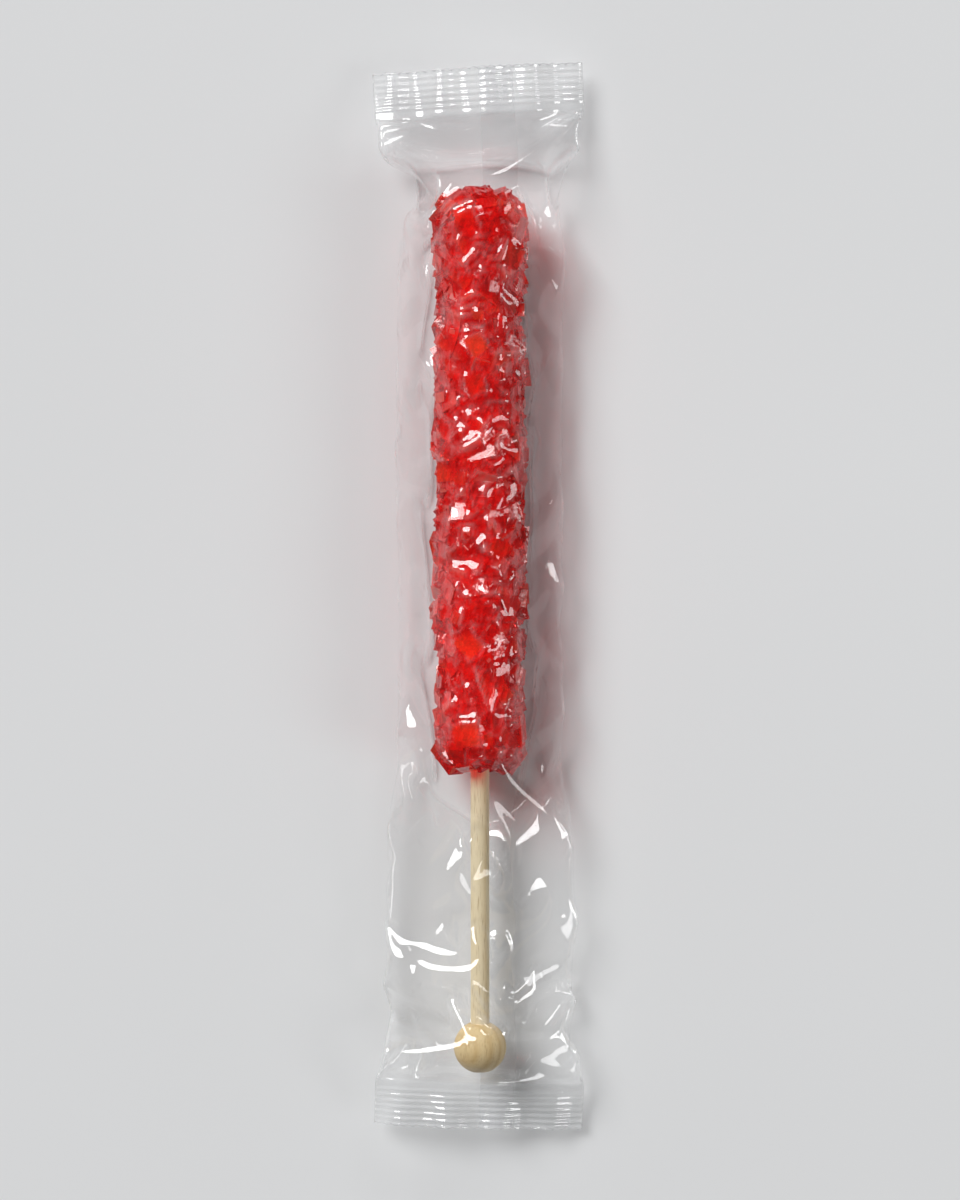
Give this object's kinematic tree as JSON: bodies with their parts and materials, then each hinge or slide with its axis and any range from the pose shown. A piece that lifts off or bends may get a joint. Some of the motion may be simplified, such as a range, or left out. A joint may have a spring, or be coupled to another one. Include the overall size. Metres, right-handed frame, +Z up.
{
  "type": "rock candy stick",
  "caption": "Thick coat of red sugar crystals grown on a wooden stick with a ball at its end, sealed in a clear film wrapper with flat crimped ends.",
  "frame": {"origin": "under the middle of the wrapper, on the surface that the part lies on", "axes": "+Y runs along the stick towards the candy's tip, +Z is up, away from the surface, and +X is to the right when the shown side is looked at with the tip up"},
  "size_m": [0.039, 0.2, 0.0207],
  "materials": {
    "candy": "glossy translucent sugar crystals",
    "stick": "plain pale birch, bare",
    "ball": "turned birch, bare and smooth",
    "film": "clear glossy plastic film"
  },
  "bodies": {
    "root": {"candy": "candy", "stick": "stick", "ball": "ball", "wrapper": "film"}
  },
  "joints": []
}
